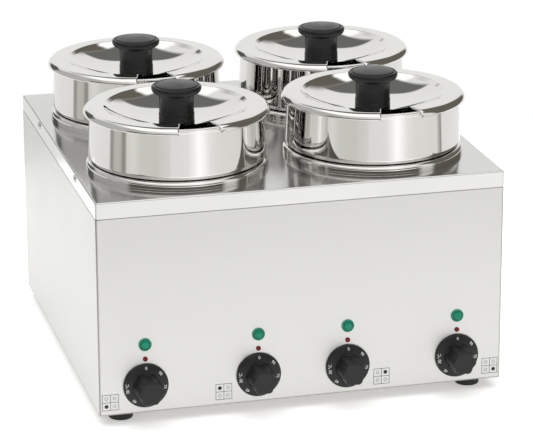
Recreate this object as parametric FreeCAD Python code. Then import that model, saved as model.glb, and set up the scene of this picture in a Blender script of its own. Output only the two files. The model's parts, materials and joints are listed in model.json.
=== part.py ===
import FreeCAD, Part
import math
import os

# Four-pot electric soup kettle. Millimetres, +Z up, front towards -Y.
# Origin: centre of the footprint, on the surface that the rubber feet stand on.

# ---- driving dimensions -------------------------------------------------------------------------

BODY_W = 500.0
BODY_D = 490.0
FOOT_H = 15.0
BODY_TOP = 280.0
SHEET = 1.0
FOLD_R = 2.0

SKIRT_H = 20.0
COVER_SHEET = 1.2
COVER_GAP = 1.0
LIP_INSET = 1.3
LIP_H = 15.0
FLANGE_W = 15.0

POT_X = 123.0
POT_Y = 116.5

WELL_R = 103.2
WELL_FLOOR_Z = 130.0
WELL_CORNER_R = 8.0
COLLAR_TOP = 10.0
COLLAR_R = 110.5
COLLAR_ROUND = 5.3
COLLAR_LIP_R = 2.0
COVER_HOLE_R = 105.6

POT_SHEET = 0.8
POT_DEPTH = 211.8
POT_RIM_TOP = 74.3
POT_RIM_LOW = 68.2
POT_RIM_R = 108.0
POT_RIM_INNER_R = 104.2
POT_NECK_R = 105.1
POT_BELLY_R = 107.5
POT_LOWER_R = 100.5
POT_CORNER_R = 12.0
SHOULDER_R = 7.0
SHOULDER_Z = 16.8

LID_SHEET = 1.0
LID_TOP = 76.0
LID_ROLL_START = 103.8
LID_ROLL = 9.0
LID_EDGE_DROP = 7.0
LID_STEP_OUT_R = 86.3
LID_STEP_IN_R = 82.0
LID_STEP_DROP = 3.6
LID_STEP_ROUND = 5.0
LID_SEAT_R = 24.0
LID_SEAT_Z = 56.4
NOTCH_INNER_Y = 84.5
NOTCH_INNER_W = 35.0
NOTCH_OUTER_W = 54.0
NOTCH_ROUND = 4.0
NOTCH_ANGLE = 1.8

KNOB_BASE_R = 21.6
KNOB_NECK_R = 20.9
KNOB_HEAD_R = 30.35
KNOB_HEAD_DROP = 5.6
KNOB_LIP_UNDER = 6.4
KNOB_LIP_OVER = 3.2
KNOB_THROAT = 3.4
KNOB_DISC_R = 25.3
KNOB_DISC_RISE = 1.8
KNOB_HEIGHT = 45.6
KNOB_HOLE_R = 2.6
KNOB_THREAD_R = 2.5
KNOB_THREAD_DEPTH = 14.0

DIAL_X = (193.8, 55.5)
DIAL_Z = FOOT_H + 34.2
DIAL_DISC_R = 27.3
DIAL_GAP = 0.6
DIAL_DISC_T = 5.4
DIAL_FRONT = 31.0
GRIP_BASE_R = 16.4
GRIP_FRONT_R = 14.4
GRIP_LOBES = 6
GRIP_LOBE_DEPTH = 0.08
SPINDLE_R = 3.0
SPINDLE_FLAT = 2.2
SPINDLE_OUT = 16.0
SOCKET_FLAT_START = 3.8
RUNNING = 0.05
THERMOSTAT_DEPTH = 32.0
THERMOSTAT_SCREW_X = 14.0

RED_Z = FOOT_H + 67.4
RED_R = 3.05
GREEN_Z = FOOT_H + 85.5
GREEN_R = 7.9

FOOT_R = 15.75
FOOT_X = 218.5
FOOT_Y = 213.5
FOOT_BORE_R = 2.7
FOOT_COUNTERBORE_R = 6.0

HEATER_CLEARANCE = 0.2
HEATER_THICKNESS = 3.5
HEATER_LOW = 152.0
HEATER_HIGH = 212.0
CLAMP_BOLT_OUT = 8.0
POST_ANGLE = 24.0
CUTOUT_R = 12.0
CUTOUT_CAN_R = 8.0

SCREW_R = 2.0
SCREW_HEAD_R = 4.3
SCREW_HEAD_H = 1.6
PANEL_SCREW_L = 7.0
COVER_SCREW_Y = 120.0
COVER_SCREW_Z = BODY_TOP - 7.0
REAR_SCREW_Z = (40.0, 138.0, 236.0)
BASE_SCREW_Y = (-110.0, 0.0, 110.0)
BASE_SCREW_X = (-120.0, 120.0)
EDGE_SCREW_IN = 8.0

GLAND_X = 190.0
GLAND_Z = 62.0
GLAND_BORE_R = 5.0
GLAND_THREAD_R = 8.0
GLAND_HEX = 24.0
GLAND_RIBS = 12
GLAND_OUT = DIAL_GAP + DIAL_FRONT

VENT_ROWS_Y = (-90.0, 90.0)
VENT_COUNT = 12
VENT_PITCH = 22.0
VENT_LENGTH = 60.0
VENT_WIDTH = 5.0

BLOCK_X = 120.0
BLOCK_Y = 205.0
BLOCK_HALF_LENGTH = 30.0
BLOCK_HALF_WIDTH = 10.0
BLOCK_HEIGHT = 18.0
BLOCK_WAYS = 5
BLOCK_PITCH = 11.0
EARTH_OFFSET = 55.0
LOOM_R = 3.5
LOOM_BEND = 25.0
LEAD_R = 1.3
LEAD_BEND = 4.5
BULB_R = 3.0
BULB_HALF_LENGTH = 40.0
CAPILLARY_R = 1.2
CAPILLARY_BEND = 5.0

# ---- places that follow from them ---------------------------------------------------------------

BODY_BOTTOM = FOOT_H
SKIRT_BOTTOM = BODY_TOP - SKIRT_H
SHELL_TOP = SKIRT_BOTTOM - COVER_GAP
HALF_W = BODY_W / 2
HALF_D = BODY_D / 2
BASE_TOP = BODY_BOTTOM + 2 * SHEET
LID_R = LID_ROLL_START + math.sqrt(LID_ROLL ** 2 - (LID_ROLL - LID_EDGE_DROP) ** 2)
HEATER_IN = WELL_R + SHEET + HEATER_CLEARANCE
HEATER_OUT = HEATER_IN + HEATER_THICKNESS
STATIONS = {
    "front_left": (-POT_X, -POT_Y),
    "front_right": (POT_X, -POT_Y),
    "rear_left": (-POT_X, POT_Y),
    "rear_right": (POT_X, POT_Y),
}
DIAL_PLACES = {
    "front_left": -DIAL_X[0],
    "rear_left": -DIAL_X[1],
    "rear_right": DIAL_X[1],
    "front_right": DIAL_X[0],
}
UP = FreeCAD.Vector(0, 0, 1)
FRONT = FreeCAD.Vector(0, -1, 0)
REAR = FreeCAD.Vector(0, 1, 0)
DOWN = FreeCAD.Vector(0, 0, -1)


# ---- shape helpers ------------------------------------------------------------------------------

def arc(centre, radius, start_deg, end_deg):
    """Start, middle and end of an arc in the (r, z) half plane."""
    points = []
    for degrees in (start_deg, (start_deg + end_deg) / 2, end_deg):
        angle = math.radians(degrees)
        points.append((centre[0] + radius * math.cos(angle), centre[1] + radius * math.sin(angle)))
    return points


def outline_wire(steps, place):
    """Closed wire through points (tuples) and arcs (lists of three points), set in 3-D by place."""
    edges = []
    first = steps[0][0] if isinstance(steps[0], list) else steps[0]
    here = first
    for step in steps + [first]:
        start = step[0] if isinstance(step, list) else step
        if math.dist(here, start) > 1e-6:
            edges.append(Part.makeLine(place(here), place(start)))
        here = start
        if isinstance(step, list):
            edges.append(Part.Arc(place(step[0]), place(step[1]), place(step[2])).toShape())
            here = step[2]
    return Part.Wire(edges)


def turned(steps, x=0.0, y=0.0, z=0.0):
    """Solid turned about a vertical axis through (x, y), from an outline of (r, z) steps."""
    face = Part.Face(outline_wire(steps, lambda p: FreeCAD.Vector(p[0], 0, p[1])))
    solid = face.revolve(FreeCAD.Vector(0, 0, 0), UP, 360)
    return solid.translated(FreeCAD.Vector(x, y, z))


def plate(steps, low, high):
    """Upright prism between two heights, from an outline of (x, y) steps."""
    face = Part.Face(outline_wire(steps, lambda p: FreeCAD.Vector(p[0], p[1], low)))
    return face.extrude(FreeCAD.Vector(0, 0, high - low))


def box(low, high):
    """Box between two opposite corners."""
    size = [b - a for a, b in zip(low, high)]
    return Part.makeBox(size[0], size[1], size[2], FreeCAD.Vector(*low))


def rounded_box(low, high, radius, direction="z"):
    """Box whose four edges along one direction are rounded."""
    shape = box(low, high)
    axis = {"x": 0, "y": 1, "z": 2}[direction]
    edges = [edge for edge in shape.Edges if abs(edge.tangentAt(0)[axis]) > 0.9]
    return shape.makeFillet(radius, edges)


def rod(radius, start, end):
    """Round bar between two points."""
    base = FreeCAD.Vector(*start)
    along = FreeCAD.Vector(*end) - base
    return Part.makeCylinder(radius, along.Length, base, along)


def aimed(shape, direction, at):
    """Shape built along +Z, turned towards a direction and moved to a point."""
    turn = FreeCAD.Rotation(UP, direction)
    return shape.transformed(FreeCAD.Placement(FreeCAD.Vector(*at), turn).toMatrix())


def slot(length, width, low, high, x, y):
    """Upright prism with round ends, its length along Y."""
    r = width / 2
    half = length / 2 - r
    steps = [arc((x, y - half), r, 180, 360), arc((x, y + half), r, 0, 180)]
    return plate(steps, low, high)


def hexagon(across_flats, height):
    """Hexagonal prism standing on the XY plane."""
    corner = across_flats / math.sqrt(3)
    steps = []
    for k in range(6):
        angle = math.radians(60 * k)
        steps.append((corner * math.cos(angle), corner * math.sin(angle)))
    return plate(steps, 0, height)


def tube_path(points, bend, radius):
    """Round wire along straight runs joined by tangent arcs of one bend radius."""
    corners = [FreeCAD.Vector(*p) for p in points]
    edges = []
    here = corners[0]
    for before, corner, after in zip(corners, corners[1:], corners[2:]):
        back = (before - corner).normalize()
        ahead = (after - corner).normalize()
        half_angle = back.getAngle(ahead) / 2
        reach = bend / math.tan(half_angle)
        start = corner + back * reach
        end = corner + ahead * reach
        bisector = (back + ahead).normalize()
        middle = corner + bisector * (bend / math.sin(half_angle) - bend)
        edges.append(Part.makeLine(here, start))
        edges.append(Part.Arc(start, middle, end).toShape())
        here = end
    edges.append(Part.makeLine(here, corners[-1]))
    path = Part.Wire(edges)
    circle = Part.makeCircle(radius, corners[0], corners[1] - corners[0])
    return path.makePipeShell([Part.Wire(circle)], True, False)


def save(node, *solids):
    """One STEP file per sub-part; identical pieces are separate solids in it."""
    shape = solids[0] if len(solids) == 1 else Part.makeCompound(list(solids))
    if not shape.isValid():
        raise ValueError("invalid shape: " + node)
    shape.exportStep("parts/" + node + ".step")


# ---- fasteners ----------------------------------------------------------------------------------

def pan_screw(length):
    """Pan head screw, head above z = 0 and shank below it, with a cross recess."""
    steps = [
        (0, -length),
        (SCREW_R, -length),
        (SCREW_R, 0),
        (SCREW_HEAD_R, 0),
        arc((SCREW_HEAD_R - 1.2, 0.4), 1.2, 0, 90),
        (0, SCREW_HEAD_H),
    ]
    screw = turned(steps)
    for span in ((1.5, 0.35), (0.35, 1.5)):
        screw = screw.cut(box((-span[0], -span[1], 0.6), (span[0], span[1], SCREW_HEAD_H)))
    return screw


def nut(across_flats, height, hole_r):
    """Hexagon nut standing on the XY plane."""
    return hexagon(across_flats, height).cut(Part.makeCylinder(hole_r, height))


# ---- casing -------------------------------------------------------------------------------------

def u_sheet(outer, inner, low, high, rear):
    """Wall round the front and both sides, between two offsets in from the body's outside."""
    def block(inset, radius, back):
        return rounded_box((inset - HALF_W, inset - HALF_D, low), (HALF_W - inset, back, high), radius)
    outside = block(outer, FOLD_R, HALF_D + 20)
    inside = block(inner, FOLD_R * 0.6, HALF_D + 40)
    return outside.cut(inside).common(box((-HALF_W, -HALF_D, low), (HALF_W, rear, high)))


def front_holes():
    """Holes of the front panel for spindles, thermostat screws and lamps."""
    holes = []
    for x in DIAL_PLACES.values():
        for radius, dx, z in ((5.0, 0, DIAL_Z), (SCREW_R + 0.2, -THERMOSTAT_SCREW_X, DIAL_Z),
                              (SCREW_R + 0.2, THERMOSTAT_SCREW_X, DIAL_Z),
                              (GREEN_R - 1.2, 0, GREEN_Z), (RED_R - 0.45, 0, RED_Z)):
            holes.append(rod(radius, (x + dx, -HALF_D - 5, z), (x + dx, -HALF_D + 5, z)))
    return holes


def make_casing_wrap():
    """U-shaped sheet with bottom and rear flanges and a set-back lip inside the cover's skirt."""
    rear = HALF_D - SHEET
    lip_in = LIP_INSET + SHEET
    wall = u_sheet(0, SHEET, BODY_BOTTOM, SHELL_TOP, rear)
    web = u_sheet(0, lip_in, SHELL_TOP - SHEET, SHELL_TOP, rear - 2)
    lip = u_sheet(LIP_INSET, lip_in, SHELL_TOP - SHEET, SHELL_TOP + LIP_H, rear - 2)
    flange = u_sheet(0, FLANGE_W, BODY_BOTTOM, BODY_BOTTOM + SHEET, rear)
    shape = wall.fuse([web, lip, flange])
    for side in (-1, 1):
        edge = sorted((side * HALF_W, side * (HALF_W - FLANGE_W)))
        shape = shape.fuse(box((edge[0], rear - SHEET, BODY_BOTTOM),
                               (edge[1], rear, SHELL_TOP - 4)))
    places = cover_screw_places() + rear_screw_places() + base_screw_places()
    shape = shape.cut(front_holes() + screw_holes(places))
    return shape.removeSplitter()


def cover_screw_places():
    """Screws through the side skirts: position and outward direction."""
    places = []
    for side in (-1, 1):
        for y in (-COVER_SCREW_Y, COVER_SCREW_Y):
            places.append(((side * HALF_W, y, COVER_SCREW_Z), FreeCAD.Vector(side, 0, 0)))
    return places


def rear_screw_places():
    """Screws of the rear panel, into the casing's rear flanges."""
    places = []
    for side in (-1, 1):
        for z in REAR_SCREW_Z:
            places.append(((side * (HALF_W - EDGE_SCREW_IN), HALF_D, z), REAR))
    return places


def base_screw_places():
    """Screws of the base plate, up through the casing's bottom flanges."""
    places = []
    for side in (-1, 1):
        for y in BASE_SCREW_Y:
            places.append(((side * (HALF_W - EDGE_SCREW_IN), y, BODY_BOTTOM), DOWN))
    for x in BASE_SCREW_X:
        places.append(((x, EDGE_SCREW_IN - HALF_D, BODY_BOTTOM), DOWN))
    return places


def thermostat_screw_places():
    """Screws that hold each thermostat, under its dial."""
    return [((x + dx, -HALF_D, DIAL_Z), FRONT)
            for x in DIAL_PLACES.values() for dx in (-THERMOSTAT_SCREW_X, THERMOSTAT_SCREW_X)]


def screw_holes(places):
    """Clearance holes on the screws' axes."""
    return [aimed(Part.makeCylinder(SCREW_R + 0.2, 12).translated(FreeCAD.Vector(0, 0, -8)), way, at)
            for at, way in places]


def make_rear_panel():
    """Flat rear sheet with its own set-back lip, and the hole of the cable gland."""
    inner = HALF_W - LIP_INSET - SHEET - 0.4
    sheet = box((-HALF_W, HALF_D - SHEET, BODY_BOTTOM), (HALF_W, HALF_D, SHELL_TOP))
    web = box((-inner, HALF_D - LIP_INSET - SHEET, SHELL_TOP - SHEET), (inner, HALF_D, SHELL_TOP))
    lip = box((-inner, HALF_D - LIP_INSET - SHEET, SHELL_TOP - SHEET),
              (inner, HALF_D - LIP_INSET, SHELL_TOP + LIP_H))
    hole = rod(GLAND_THREAD_R + 0.2, (GLAND_X, HALF_D - 5, GLAND_Z), (GLAND_X, HALF_D + 5, GLAND_Z))
    shape = sheet.fuse([web, lip])
    return shape.cut(screw_holes(rear_screw_places()) + [hole]).removeSplitter()


def make_base_plate():
    """Bottom sheet on the casing's flanges, with rows of ventilation slots."""
    inset = SHEET + 0.2
    shape = rounded_box((inset - HALF_W, inset - HALF_D, BODY_BOTTOM + SHEET),
                        (HALF_W - inset, HALF_D - inset - SHEET, BASE_TOP), 1.0)
    cuts = screw_holes(base_screw_places())
    for row_y in VENT_ROWS_Y:
        for k in range(VENT_COUNT):
            x = (k - (VENT_COUNT - 1) / 2) * VENT_PITCH
            cuts.append(slot(VENT_LENGTH, VENT_WIDTH, BODY_BOTTOM, BASE_TOP + 1, x, row_y))
    for x, y in foot_places().values():
        cuts.append(rod(FOOT_BORE_R, (x, y, BODY_BOTTOM), (x, y, BASE_TOP + 1)))
    return shape.cut(cuts)


def make_top_cover():
    """Top sheet with a folded skirt on all sides, four well holes and relieved corners."""
    outside = rounded_box((-HALF_W, -HALF_D, SKIRT_BOTTOM), (HALF_W, HALF_D, BODY_TOP), FOLD_R)
    top_edges = [edge for edge in outside.Edges if edge.BoundBox.ZMin > BODY_TOP - 0.01]
    outside = outside.makeFillet(FOLD_R - 0.2, top_edges)
    t = COVER_SHEET
    inside = rounded_box((t - HALF_W, t - HALF_D, SKIRT_BOTTOM), (HALF_W - t, HALF_D - t, BODY_TOP - t),
                         FOLD_R * 0.5)
    cuts = [inside] + screw_holes(cover_screw_places())
    for x, y in STATIONS.values():
        cuts.append(rod(COVER_HOLE_R, (x, y, SKIRT_BOTTOM), (x, y, BODY_TOP + 1)))
    for sx in (-1, 1):
        for sy in (-1, 1):
            x = sx * (HALF_W - 0.4)
            y = sy * (HALF_D - 0.4)
            cuts.append(rod(1.5, (x, y, SKIRT_BOTTOM - 1), (x, y, SKIRT_BOTTOM + 1.6)))
    return outside.cut(cuts)


# ---- wells and heating --------------------------------------------------------------------------

def make_well(x, y):
    """Drawn well: flat floor, straight wall, and a collar turned over on the top cover."""
    t = SHEET
    rim = BODY_TOP + COLLAR_TOP
    outer_z = rim - COLLAR_ROUND
    lip = (WELL_R + COLLAR_LIP_R, rim - COLLAR_LIP_R)
    bend = (COLLAR_R - COLLAR_ROUND, outer_z)
    floor = (WELL_R - WELL_CORNER_R, WELL_FLOOR_Z + WELL_CORNER_R)
    steps = [
        (0, WELL_FLOOR_Z - t),
        arc(floor, WELL_CORNER_R + t, 270, 360),
        arc(lip, COLLAR_LIP_R - t, 180, 90),
        arc(bend, COLLAR_ROUND - t, 90, 0),
        (COLLAR_R - t, BODY_TOP),
        (COLLAR_R - 0.4, BODY_TOP),
        (COLLAR_R - 0.4, BODY_TOP + 1.2),
        (COLLAR_R, BODY_TOP + 1.6),
        arc(bend, COLLAR_ROUND, 0, 90),
        arc(lip, COLLAR_LIP_R, 90, 180),
        arc(floor, WELL_CORNER_R, 360, 270),
        (0, WELL_FLOOR_Z),
    ]
    return turned(steps, x, y)


def inward_angle(x):
    """Direction in degrees from a well's axis to the body's middle plane."""
    return 0 if x < 0 else 180


def make_heater(x, y):
    """Band heater with a split, two clamp ears and two terminal posts, facing the body's middle."""
    band = turned([(HEATER_IN, HEATER_LOW), (HEATER_OUT, HEATER_LOW),
                   (HEATER_OUT, HEATER_HIGH), (HEATER_IN, HEATER_HIGH)])
    middle = (HEATER_LOW + HEATER_HIGH) / 2
    ears = []
    for side in (-1, 1):
        y0, y1 = sorted((side * 4, side * 6))
        ears.append(box((HEATER_IN + 1, y0, middle - 12), (HEATER_OUT + 14, y1, middle + 12)))
    posts = []
    for angle in (-POST_ANGLE, POST_ANGLE):
        post = rod(2.5, (HEATER_OUT - 1, 0, middle), (HEATER_OUT + 9, 0, middle))
        posts.append(post.rotated(FreeCAD.Vector(0, 0, 0), UP, angle))
    split = box((HEATER_IN - 3, -4, HEATER_LOW), (HEATER_OUT + 20, 4, HEATER_HIGH))
    bolt_x = HEATER_OUT + CLAMP_BOLT_OUT
    bolt_hole = rod(SCREW_R + 0.2, (bolt_x, -10, middle), (bolt_x, 10, middle))
    shape = band.fuse(ears + posts).cut([split, bolt_hole])
    turned_in = shape.rotated(FreeCAD.Vector(0, 0, 0), UP, inward_angle(x))
    return turned_in.translated(FreeCAD.Vector(x, y, 0))


def make_heater_bolts():
    """Clamp bolt and nut of each band heater."""
    solids = []
    middle = (HEATER_LOW + HEATER_HIGH) / 2
    bolt_x = HEATER_OUT + CLAMP_BOLT_OUT
    for x, y in STATIONS.values():
        screw = aimed(pan_screw(16), REAR, (bolt_x, 6, middle))
        clamp_nut = aimed(nut(7, 3, SCREW_R + 0.02), FRONT, (bolt_x, -6, middle))
        for piece in (screw, clamp_nut):
            turned_in = piece.rotated(FreeCAD.Vector(0, 0, 0), UP, inward_angle(x))
            solids.append(turned_in.translated(FreeCAD.Vector(x, y, 0)))
    return solids


def make_safety_cutouts():
    """Disc thermostats with two tabs, one under each well floor."""
    solids = []
    for x, y in STATIONS.values():
        top = WELL_FLOOR_Z - SHEET
        can = turned([(0, top - 9), (CUTOUT_CAN_R, top - 9), (CUTOUT_CAN_R, top - 1.5),
                      (CUTOUT_R, top - 1.5), (CUTOUT_R, top), (0, top)], x, y)
        tabs = [box((x + dx - 0.4, y - 3, top - 17), (x + dx + 0.4, y + 3, top - 8)) for dx in (-4, 4)]
        solids.append(can.fuse(tabs))
    return solids


# ---- controls -----------------------------------------------------------------------------------

def make_thermostat(x):
    """Capillary thermostat: mounting bridge on the panel, moulded body, spindle bore, tabs."""
    face = -HALF_D + SHEET
    bridge = rounded_box((x - 19, face, DIAL_Z - 9), (x + 19, face + 1.5, DIAL_Z + 9), 3, "y")
    body = rounded_box((x - 21, face + 1.5, DIAL_Z - 17), (x + 21, face + THERMOSTAT_DEPTH, DIAL_Z + 17),
                       3, "y")
    tabs = []
    for dx in (-12, 12):
        for dz in (-9, 9):
            tabs.append(box((x + dx - 3, face + THERMOSTAT_DEPTH - 1, DIAL_Z + dz - 0.4),
                            (x + dx + 3, face + THERMOSTAT_DEPTH + 8, DIAL_Z + dz + 0.4)))
    bore = rod(SPINDLE_R + RUNNING, (x, face - 1, DIAL_Z), (x, face + 14.2, DIAL_Z))
    screws = [rod(SCREW_R + 0.05, (x + dx, face - 1, DIAL_Z), (x + dx, face + 10, DIAL_Z))
              for dx in (-THERMOSTAT_SCREW_X, THERMOSTAT_SCREW_X)]
    return bridge.fuse([body] + tabs).cut([bore] + screws)


def make_spindle(x):
    """Turning spindle with a flat at its outer end."""
    inner = -HALF_D + SHEET + 13.5
    outer = -HALF_D - SPINDLE_OUT
    shaft = rod(SPINDLE_R, (x, inner, DIAL_Z), (x, outer, DIAL_Z))
    return shaft.cut(box((x - 4, outer - 1, DIAL_Z + SPINDLE_FLAT), (x + 4, -HALF_D - 4, DIAL_Z + 4)))


def lobed_wire(radius, height):
    """Closed smooth curve with evenly spaced lobes."""
    points = []
    steps = GRIP_LOBES * 8
    for k in range(steps):
        angle = 2 * math.pi * k / steps
        r = radius * (1 + GRIP_LOBE_DEPTH * math.cos(GRIP_LOBES * angle))
        points.append(FreeCAD.Vector(r * math.cos(angle), r * math.sin(angle), height))
    curve = Part.BSplineCurve()
    curve.interpolate(points, PeriodicFlag=True)
    return Part.Wire(curve.toShape())


def make_dial(x):
    """Dial: bevelled skirt disc, lobed grip, hollow back and a D-shaped socket."""
    disc = turned([
        (0, 0),
        (DIAL_DISC_R, 0),
        (DIAL_DISC_R, 1.6),
        arc((DIAL_DISC_R - 1.2, 1.6), 1.2, 0, 60),
        (GRIP_BASE_R + 1.5, DIAL_DISC_T),
        (0, DIAL_DISC_T),
    ])
    sections = [lobed_wire(GRIP_BASE_R, DIAL_DISC_T - 1), lobed_wire(GRIP_FRONT_R + 0.4, DIAL_FRONT - 1.6),
                lobed_wire(GRIP_FRONT_R - 1.0, DIAL_FRONT)]
    grip = Part.makeLoft(sections, True, True)
    hollow = turned([(6.5, -1), (DIAL_DISC_R - 3, -1), (DIAL_DISC_R - 3, 2.4), (6.5, 2.4)])
    socket = Part.makeCylinder(SPINDLE_R + RUNNING, SPINDLE_OUT)
    flat = box((-4, SPINDLE_FLAT + RUNNING, SOCKET_FLAT_START), (4, 4, SPINDLE_OUT + 1))
    shape = disc.fuse(grip).cut([hollow, socket.cut(flat)])
    turn = FreeCAD.Rotation(FreeCAD.Vector(1, 0, 0), 90)
    at = FreeCAD.Vector(x, -HALF_D - DIAL_GAP, DIAL_Z)
    return shape.transformed(FreeCAD.Placement(at, turn).toMatrix())


def make_power_lamp(x):
    """Large pilot lamp: flange ring, domed lens, threaded barrel, two tabs."""
    steps = [
        (0, -20),
        (GREEN_R - 1.5, -20),
        (GREEN_R - 1.5, 0),
        (GREEN_R, 0),
        arc((GREEN_R - 0.9, 0.8), 0.9, 0, 90),
        (5.9, 1.7),
        (5.7, 1.1),
        (5.2, 1.1),
        arc((5.2 - 1.4, 1.9), 1.4, 0, 75),
        (0, 3.9),
    ]
    lamp = turned(steps)
    tabs = [box((dx - 0.4, -2.5, -27), (dx + 0.4, 2.5, -19)) for dx in (-3, 3)]
    return aimed(lamp.fuse(tabs), FRONT, (x, -HALF_D, GREEN_Z))


def make_heating_lamps():
    """Small pilot lamps: a domed bead on a slim barrel."""
    solids = []
    steps = [(0, -14), (2.4, -14), (2.4, 0), (RED_R, 0), arc((RED_R - 1.1, 0.5), 1.1, 0, 70), (0, 1.9)]
    for x in DIAL_PLACES.values():
        solids.append(aimed(turned(steps), FRONT, (x, -HALF_D, RED_Z)))
    return solids


def make_thermostat_bulbs():
    """Sensing bulb beside each well, above its heater, with the capillary down to its thermostat."""
    solids = []
    front = -HALF_D + THERMOSTAT_DEPTH
    for name, x in DIAL_PLACES.items():
        well_x, well_y = STATIONS[name]
        rear = well_y > 0
        bulb_x = well_x - math.copysign(HEATER_OUT + 2.5, well_x)
        bulb_z = 240.0 if rear else 228.0
        drop_y = front + (21 if rear else 29)
        low = 96.0 if rear else 88.0
        bulb = rod(BULB_R, (bulb_x, well_y - BULB_HALF_LENGTH, bulb_z),
                   (bulb_x, well_y + BULB_HALF_LENGTH, bulb_z))
        points = [(bulb_x, well_y - BULB_HALF_LENGTH + 1, bulb_z), (bulb_x, drop_y, bulb_z),
                  (bulb_x, drop_y, low), (x, front + 3, low), (x, front + 3, DIAL_Z + 15)]
        solids.append(bulb.fuse(tube_path(points, CAPILLARY_BEND, CAPILLARY_R)))
    return solids


# ---- wiring -------------------------------------------------------------------------------------

def make_cable_gland():
    """Cable gland in the rear panel: threaded barrel, hexagon body and ribbed dome nut."""
    body = hexagon(GLAND_HEX, 6).common(turned([(0, 0), (13.4, 0), (13.4, 5.2), (12.4, 6), (0, 6)]))
    barrel = Part.makeCylinder(GLAND_THREAD_R, 14, FreeCAD.Vector(0, 0, -14))
    dome = turned([(0, 6), (11.3, 6), (11.3, 15), arc((6.3, GLAND_OUT - 8), 5.0, 0, 60),
                   (7.2, GLAND_OUT), (0, GLAND_OUT)])
    ribs = []
    for k in range(GLAND_RIBS):
        rib = Part.makeCylinder(0.9, 8.5, FreeCAD.Vector(11.2, 0, 6))
        ribs.append(rib.rotated(FreeCAD.Vector(0, 0, 0), UP, 360 / GLAND_RIBS * k))
    shape = body.fuse([barrel, dome] + ribs)
    bore = Part.makeCylinder(GLAND_BORE_R, GLAND_OUT + 20, FreeCAD.Vector(0, 0, -16))
    return aimed(shape.cut(bore), REAR, (GLAND_X, HALF_D, GLAND_Z))


def make_gland_nut():
    """Flat nut on the gland's barrel, inside the rear panel."""
    return aimed(nut(22, 5, GLAND_THREAD_R + 0.05), FRONT, (GLAND_X, HALF_D - SHEET, GLAND_Z))


def make_terminal_block():
    """Five-way terminal block on the base plate, with open screw wells and wire mouths."""
    low = (BLOCK_X - BLOCK_HALF_LENGTH, BLOCK_Y - BLOCK_HALF_WIDTH, BASE_TOP)
    high = (BLOCK_X + BLOCK_HALF_LENGTH, BLOCK_Y + BLOCK_HALF_WIDTH, BASE_TOP + BLOCK_HEIGHT)
    shape = rounded_box(low, high, 1.5)
    cuts = []
    for k in range(BLOCK_WAYS):
        x = BLOCK_X + (k - (BLOCK_WAYS - 1) / 2) * BLOCK_PITCH
        cuts.append(rod(2.4, (x, BLOCK_Y - 11, BASE_TOP + 8), (x, BLOCK_Y - 3, BASE_TOP + 8)))
        cuts.append(rod(2.4, (x, BLOCK_Y + 3, BASE_TOP + 8), (x, BLOCK_Y + 11, BASE_TOP + 8)))
        cuts.append(rod(2.2, (x, BLOCK_Y, BASE_TOP + 12), (x, BLOCK_Y, BASE_TOP + 19)))
    return shape.cut(cuts)


def make_earth_terminal():
    """Protective earth stud with two nuts on the base plate."""
    x = BLOCK_X + EARTH_OFFSET
    base = BASE_TOP
    stud = rod(2.5, (x, BLOCK_Y, base), (x, BLOCK_Y, base + 16))
    washer = Part.makeCylinder(6, 1.2, FreeCAD.Vector(x, BLOCK_Y, base))
    nuts = [hexagon(8, 4).translated(FreeCAD.Vector(x, BLOCK_Y, z)) for z in (base + 1.2, base + 7.0)]
    return stud.fuse([washer] + nuts)


def make_wiring_loom():
    """Main loom: from the terminal block along the floor and the front, under the thermostats."""
    z = BASE_TOP + 7.0
    front = -HALF_D + THERMOSTAT_DEPTH + 20
    points = [(BLOCK_X, BLOCK_Y - 14, z), (BLOCK_X, front, z), (-DIAL_X[0], front, z)]
    return tube_path(points, LOOM_BEND, LOOM_R)


def make_heater_leads():
    """Pair of leads from each thermostat up to its band heater's terminal posts."""
    solids = []
    post_top = (HEATER_LOW + HEATER_HIGH) / 2 - 3
    start_y = -HALF_D + THERMOSTAT_DEPTH + 11.5
    reach = HEATER_OUT + 12
    for name, x in DIAL_PLACES.items():
        well_x, well_y = STATIONS[name]
        for k, side in enumerate((-1, 1)):
            angle = math.radians(POST_ANGLE)
            post_x = well_x - math.copysign(reach * math.cos(angle), well_x)
            post_y = well_y + side * reach * math.sin(angle)
            start_x = x + math.copysign(9, x) * side
            level = 100.0 + 4 * k + (8 if well_y > 0 else 0)
            points = [(start_x, start_y, DIAL_Z + 6), (start_x, start_y, level), (post_x, post_y, level),
                      (post_x, post_y, post_top)]
            solids.append(tube_path(points, LEAD_BEND, LEAD_R))
    return solids


# ---- feet ---------------------------------------------------------------------------------------

def foot_places():
    """Plan position of the foot under each station's corner."""
    return {station: (math.copysign(FOOT_X, x), math.copysign(FOOT_Y, y))
            for station, (x, y) in STATIONS.items()}


def make_foot(x, y):
    """Rubber foot with a counterbored hole; its top lies on the base plate, between the flanges."""
    top = BODY_BOTTOM + SHEET
    steps = [
        (FOOT_BORE_R, 6.0),
        (FOOT_COUNTERBORE_R, 6.0),
        (FOOT_COUNTERBORE_R, 0),
        arc((FOOT_R - 2.5, 1.5), 1.5, 270, 350),
        (FOOT_R, top),
        (FOOT_BORE_R, top),
    ]
    return turned(steps, x, y)


def make_foot_fasteners():
    """Screw up through each foot and the base plate, and its nut inside."""
    solids = []
    for x, y in foot_places().values():
        screw = turned([(0, 3.0), (4.6, 3.0), (5.0, 3.6), (5.0, 6.0), (2.5, 6.0), (2.5, 24), (0, 24)], x, y)
        solids.append(screw)
        solids.append(nut(8, 4, 2.52).translated(FreeCAD.Vector(x, y, BASE_TOP)))
    return solids


# ---- pots and lids ------------------------------------------------------------------------------

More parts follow.
